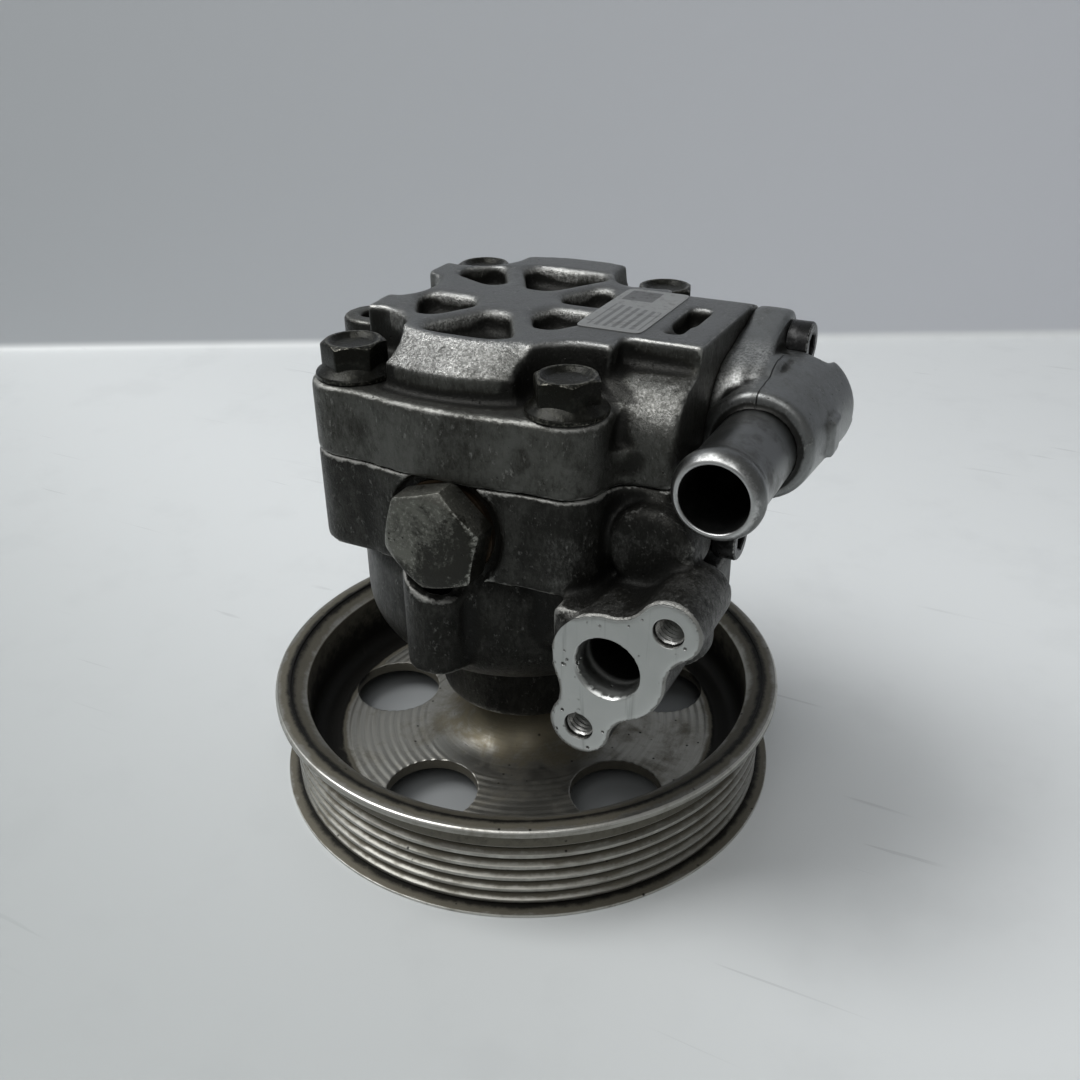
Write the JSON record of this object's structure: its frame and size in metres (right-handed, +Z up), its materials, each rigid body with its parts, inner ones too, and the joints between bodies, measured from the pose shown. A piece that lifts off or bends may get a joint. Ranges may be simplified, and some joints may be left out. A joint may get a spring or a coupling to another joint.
{
  "type": "power steering pump",
  "caption": "Vane-type power steering pump with a dished ribbed-belt pulley, cast housing and cover, flanged outlet face, hex valve plug and beaded suction elbow.",
  "frame": {"origin": "shaft axis at the mouth of the shaft's lower threaded end, 0.5 mm above the pulley's lower edge", "axes": "+Z up along the drive shaft; valve plug, outlet and suction tube point to -Y; suction side at +X"},
  "size_m": [0.1462, 0.138, 0.1302],
  "materials": {
    "pulley_steel": "turned bare steel, oil stained",
    "shaft_steel": "ground steel",
    "housing_casting": "oily weathered die casting",
    "cover_casting": "satin die casting",
    "elbow_casting": "smooth satin die casting",
    "dark_steel": "phosphated steel",
    "plug_steel": "dirty pitted steel",
    "bearing_steel": "polished steel",
    "brass": "plain brass",
    "copper_washer": "annealed copper",
    "seal_rubber": "nitrile rubber",
    "label_foil": "matt foil"
  },
  "bodies": {
    "pump_body": {"dowel_pins": "shaft_steel", "cam_ring": "shaft_steel", "pressure_plate": "shaft_steel", "front_housing": "housing_casting", "rear_cover": "cover_casting", "suction_elbow": "elbow_casting", "cover_bolts": "dark_steel", "elbow_screws": "dark_steel", "bearing_circlip": "dark_steel", "valve_plug": "plug_steel", "bearing_outer_race": "bearing_steel", "flow_valve_spring": "bearing_steel", "shaft_bush": "brass", "plug_washer": "copper_washer", "shaft_seal": "seal_rubber", "plate_seal": "seal_rubber", "cover_seal": "seal_rubber", "elbow_seal": "seal_rubber", "blank_label": "label_foil"},
    "drive_line": {"pulley": "pulley_steel", "drive_shaft": "shaft_steel", "bearing_inner_race": "bearing_steel", "rotor": "shaft_steel", "vanes": "shaft_steel", "rotor_clip": "dark_steel"},
    "bearing_cage": {"bearing_balls": "bearing_steel", "bearing_cage": "brass"},
    "valve_spool": {"flow_valve_spool": "shaft_steel"}
  },
  "joints": [
    {"name": "shaft_spin", "type": "hinge", "parent": "pump_body", "child": "drive_line", "pos_m": [0, 0, 0.06], "axis": [0, 0, 1], "continuous": true},
    {"name": "cage_spin", "type": "hinge", "parent": "pump_body", "child": "bearing_cage", "pos_m": [0, 0, 0.034], "axis": [0, 0, 1], "continuous": true},
    {"name": "spool_slide", "type": "slide", "parent": "pump_body", "child": "valve_spool", "axis": [0, 1, 0], "range_m": [0, 0.004], "stiffness_N_per_m": 6000, "springref_m": -0.002, "deforming": ["flow_valve_spring"]}
  ],
  "couplings": [
    {"joint": "cage_spin", "follows": "shaft_spin", "ratio": 0.38246}
  ]
}
